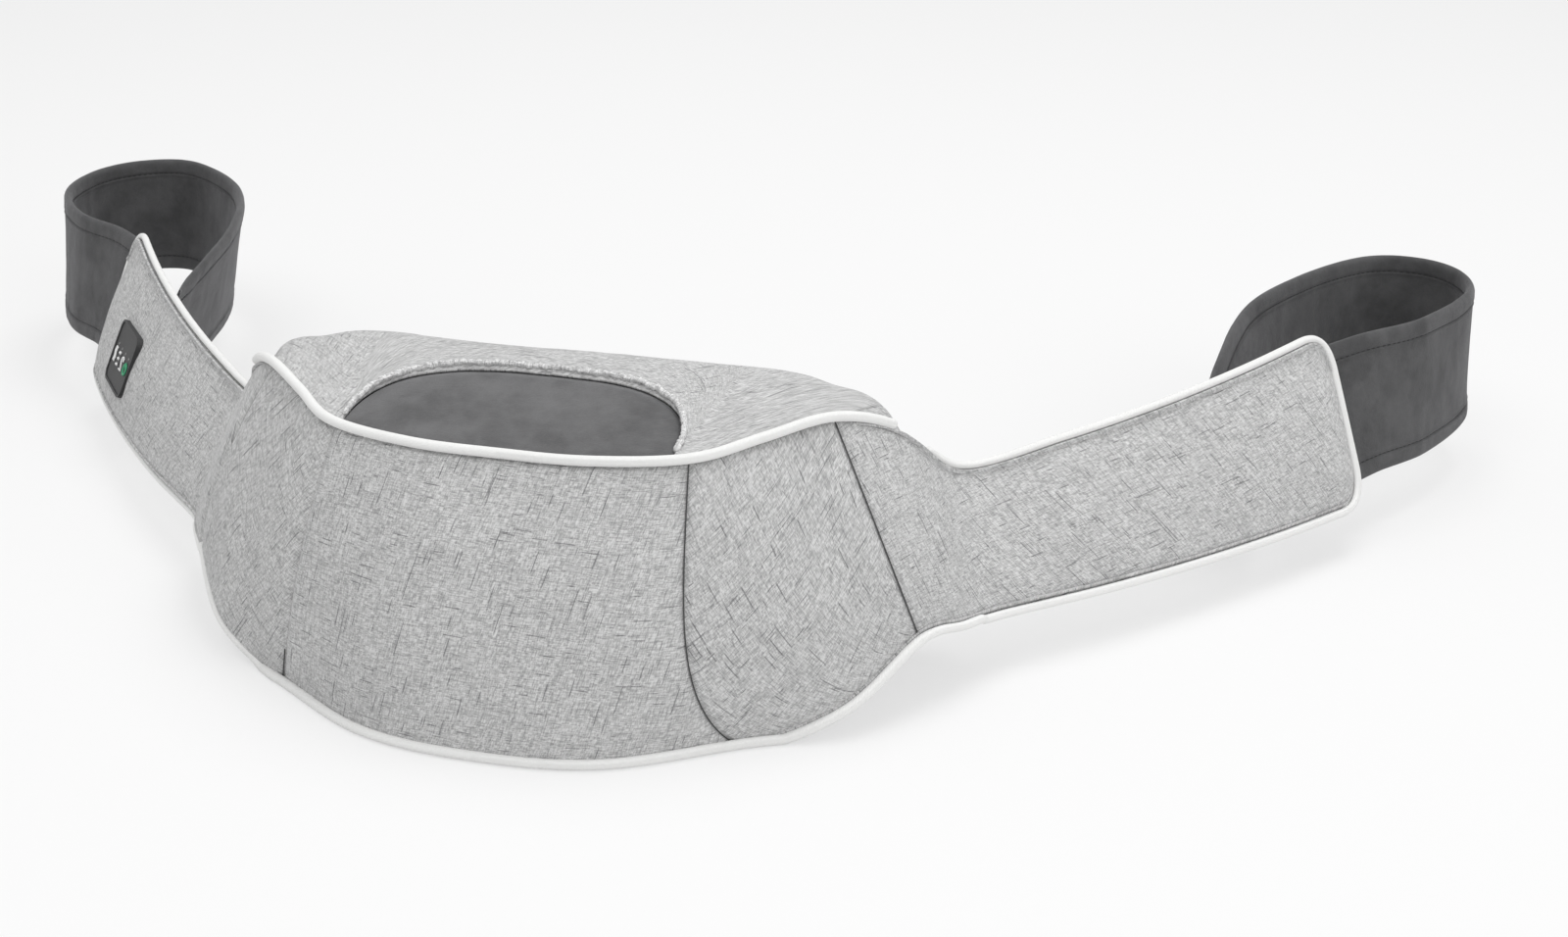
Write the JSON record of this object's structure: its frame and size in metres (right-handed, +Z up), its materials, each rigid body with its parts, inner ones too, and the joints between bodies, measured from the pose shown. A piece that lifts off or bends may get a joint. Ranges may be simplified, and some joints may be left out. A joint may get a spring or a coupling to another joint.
{
  "type": "neck_massager",
  "caption": "Cordless neck and shoulder kneading massager: a linen-covered padded body with twin rotating node heads under a velour patch, two soft arms with hand loops and a control panel.",
  "frame": {"origin": "On the table, at the middle of the flat face of the base panel", "axes": "+Z up, -Y towards the bulged front, +X towards the right arm"},
  "size_m": [0.9062, 0.5168, 0.1451],
  "materials": {
    "linen": "heather grey linen weave",
    "velour": "dark grey brushed velour",
    "piping": "pale woven piping",
    "foam": "polyurethane foam",
    "tape": "woven zip tape",
    "shell": "moulded ABS",
    "steel": "plated steel",
    "brass": "machined brass",
    "nylon": "natural nylon",
    "rotor": "glass-filled nylon",
    "node": "smooth massage node",
    "cell": "shrink-wrapped cell",
    "board": "circuit board",
    "socket": "moulded socket",
    "panel": "soft-touch dark grey plastic"
  },
  "bodies": {
    "body": {"front_panel": "linen", "gore_left": "linen", "gore_right": "linen", "roof_panel": "linen", "back_panel": "linen", "under_panels": "linen", "base_panel": "linen", "massage_cover": "velour", "cover_pad": "foam", "body_pad": "foam", "piping_top": "piping", "piping_bottom": "piping", "arm_root_left": "linen", "arm_root_right": "linen", "zip_tape": "tape", "lower_shell": "shell", "chassis": "shell", "upper_shell": "shell", "shell_screws": "steel", "motor": "steel", "motor_strap": "steel", "bushes": "brass", "battery_cells": "cell", "main_board": "board", "charging_socket": "socket"},
    "zip_slider": {"zip_slider": "steel"},
    "drive": {"drive_shaft": "steel", "worms": "brass"},
    "rotor_left": {"spindle_left": "steel", "worm_wheel_left": "nylon", "rotor_plate_left": "rotor", "node_caps_left": "node"},
    "rotor_right": {"spindle_right": "steel", "worm_wheel_right": "nylon", "rotor_plate_right": "rotor", "node_caps_right": "node"},
    "arm_left": {"arm_cover_left": "linen", "arm_lining_left": "linen", "arm_pad_left": "foam", "piping_arm_left": "piping", "strap_tab_left": "velour", "strap_root_left": "velour", "control_housing": "panel", "control_face": "panel", "control_board": "board", "indicator_lights": "panel"},
    "arm_right": {"arm_cover_right": "linen", "arm_lining_right": "linen", "arm_pad_right": "foam", "piping_arm_right": "piping", "strap_tab_right": "velour", "strap_root_right": "velour"},
    "loop_left": {"hand_strap_left": "velour"},
    "loop_right": {"hand_strap_right": "velour"},
    "power_key": {"power_button": "panel"},
    "mode_key": {"mode_button": "panel"},
    "speed_key": {"speed_button": "panel"},
    "heat_key": {"heat_button": "panel"}
  },
  "joints": [
    {"name": "rotor_left_spin", "type": "hinge", "parent": "body", "child": "rotor_left", "pos_m": [-0.044, 0.035, 0.062], "axis": [0, 0, 1], "continuous": true},
    {"name": "rotor_right_spin", "type": "hinge", "parent": "body", "child": "rotor_right", "pos_m": [0.044, 0.035, 0.062], "axis": [0, 0, 1], "continuous": true},
    {"name": "worm_spin", "type": "hinge", "parent": "body", "child": "drive", "pos_m": [0, 0.00555, 0.062], "axis": [1, 0, 0], "continuous": true},
    {"name": "zip_slide", "type": "slide", "parent": "body", "child": "zip_slider", "axis": [-1, 0, 0], "range_m": [0, 0.136]},
    {"name": "arm_fold_right", "type": "hinge", "parent": "body", "child": "arm_right", "pos_m": [0.18768, 0.09072, 0.07545], "axis": [0, 0, 1], "range_deg": [-15, 20], "stiffness_Nm_per_rad": 1.5, "deforming": ["arm_root_right"]},
    {"name": "loop_swing_right", "type": "hinge", "parent": "arm_right", "child": "loop_right", "pos_m": [0.36364, 0.28787, 0.06503], "axis": [-0.3144, 0.2932, 0.9029], "range_deg": [-10, 10], "stiffness_Nm_per_rad": 0.6, "deforming": ["strap_root_right"]},
    {"name": "arm_fold_left", "type": "hinge", "parent": "body", "child": "arm_left", "pos_m": [-0.18768, 0.09072, 0.07545], "axis": [0, 0, -1], "range_deg": [-15, 20], "stiffness_Nm_per_rad": 1.5, "deforming": ["arm_root_left"]},
    {"name": "loop_swing_left", "type": "hinge", "parent": "arm_left", "child": "loop_left", "pos_m": [-0.36364, 0.28787, 0.06503], "axis": [-0.3144, -0.2932, -0.9029], "range_deg": [-10, 10], "stiffness_Nm_per_rad": 0.6, "deforming": ["strap_root_left"]},
    {"name": "power_press", "type": "slide", "parent": "arm_left", "child": "power_key", "axis": [0.6865, 0.5864, -0.4299], "range_m": [0, 0.0005], "stiffness_N_per_m": 1500},
    {"name": "speed_press", "type": "slide", "parent": "arm_left", "child": "speed_key", "axis": [0.6865, 0.5864, -0.4299], "range_m": [0, 0.0005], "stiffness_N_per_m": 1500},
    {"name": "mode_press", "type": "slide", "parent": "arm_left", "child": "mode_key", "axis": [0.6865, 0.5864, -0.4299], "range_m": [0, 0.0005], "stiffness_N_per_m": 1500},
    {"name": "heat_press", "type": "slide", "parent": "arm_left", "child": "heat_key", "axis": [0.6865, 0.5864, -0.4299], "range_m": [0, 0.0005], "stiffness_N_per_m": 1500}
  ],
  "couplings": [
    {"joint": "rotor_right_spin", "follows": "rotor_left_spin", "ratio": -1},
    {"joint": "worm_spin", "follows": "rotor_left_spin", "ratio": 38}
  ]
}
